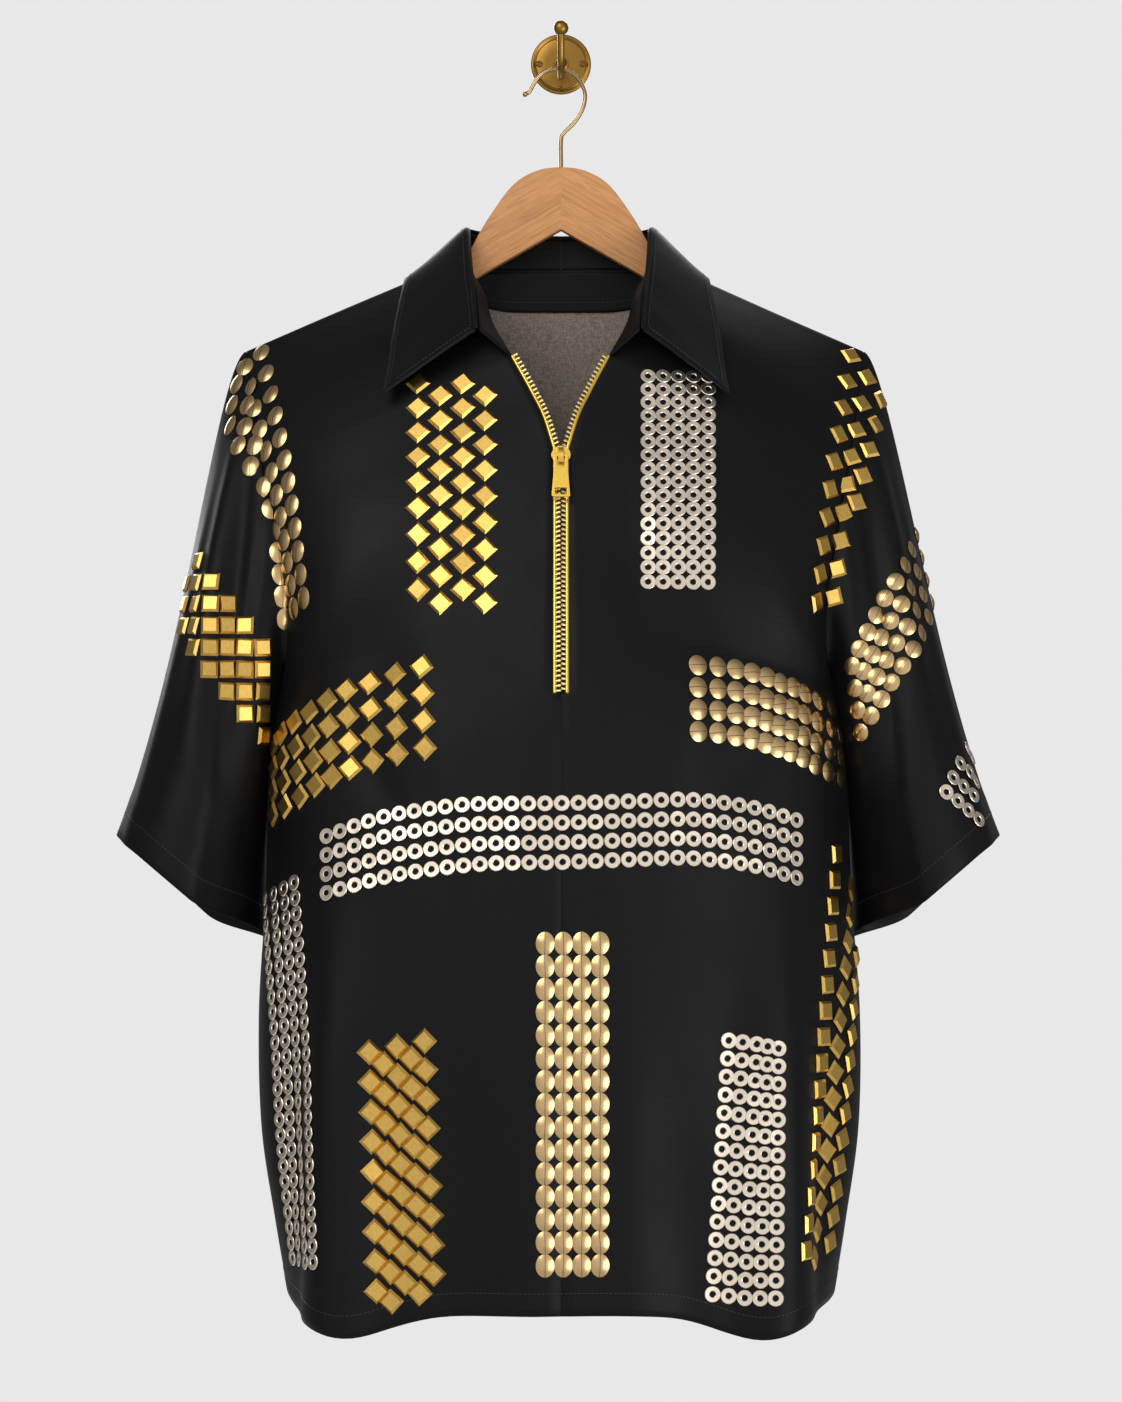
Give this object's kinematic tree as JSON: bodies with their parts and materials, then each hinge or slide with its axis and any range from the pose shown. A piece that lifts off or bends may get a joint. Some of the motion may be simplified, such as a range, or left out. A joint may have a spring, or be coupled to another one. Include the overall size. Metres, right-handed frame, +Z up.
{
  "type": "embroidered shirt on hanger and wall hook",
  "caption": "Half-zip shirt with wide elbow sleeves and a pointed collar, sewn with blocks of metal studs, discs and rings, on a wooden hanger and a brass wall hook.",
  "frame": {"origin": "centre of the wall plate's back face, where it lies against the wall", "axes": "+Z up, +Y into the wall, so the shirt's front faces -Y; +X to the right of someone who faces the shirt"},
  "size_m": [0.6214, 0.2278, 0.9155],
  "materials": {
    "satin_cloth": "black polyester satin, soft sheen",
    "gold_studs": "polished gold plate",
    "champagne_discs": "satin champagne gold plate",
    "silver_rings": "pale nickel, slightly warm",
    "zip_brass": "polished yellow brass",
    "hanger_beech": "clear satin varnish",
    "hook_wire": "antique brass plated steel wire",
    "wall_brass": "aged brass, satin"
  },
  "bodies": {
    "shirt": {"front_left": "satin_cloth", "front_right": "satin_cloth", "back": "satin_cloth", "sleeve_left": "satin_cloth", "sleeve_right": "satin_cloth", "collar_stand": "satin_cloth", "collar_fall": "satin_cloth", "back_neck_facing": "satin_cloth", "trim_stud_chest": "gold_studs", "trim_stud_waist": "gold_studs", "trim_stud_hem": "gold_studs", "trim_stud_side": "gold_studs", "trim_stud_armhole": "gold_studs", "trim_stud_sleeve": "gold_studs", "trim_dome_waist": "champagne_discs", "trim_dome_hem": "champagne_discs", "trim_dome_armhole": "champagne_discs", "trim_dome_sleeve": "champagne_discs", "trim_ring_chest": "silver_rings", "trim_ring_band": "silver_rings", "trim_ring_side": "silver_rings", "trim_ring_hem": "silver_rings", "trim_ring_sleeve": "silver_rings", "zip_tape_left": "zip_brass", "zip_tape_right": "zip_brass", "zip_slider": "zip_brass", "hanger_left": "hanger_beech", "hanger_right": "hanger_beech", "hanger_hook": "hook_wire", "wall_plate": "wall_brass", "screw_left": "wall_brass", "screw_right": "wall_brass", "screw_low": "wall_brass", "hook_arm": "wall_brass"},
    "pull_tab": {"zip_pull_tab": "zip_brass"}
  },
  "joints": [
    {"name": "pull_tab_hinge", "type": "hinge", "parent": "shirt", "child": "pull_tab", "pos_m": [0, -0.1563, -0.29523], "axis": [-1, 0, 0], "range_deg": [0, 170]}
  ]
}
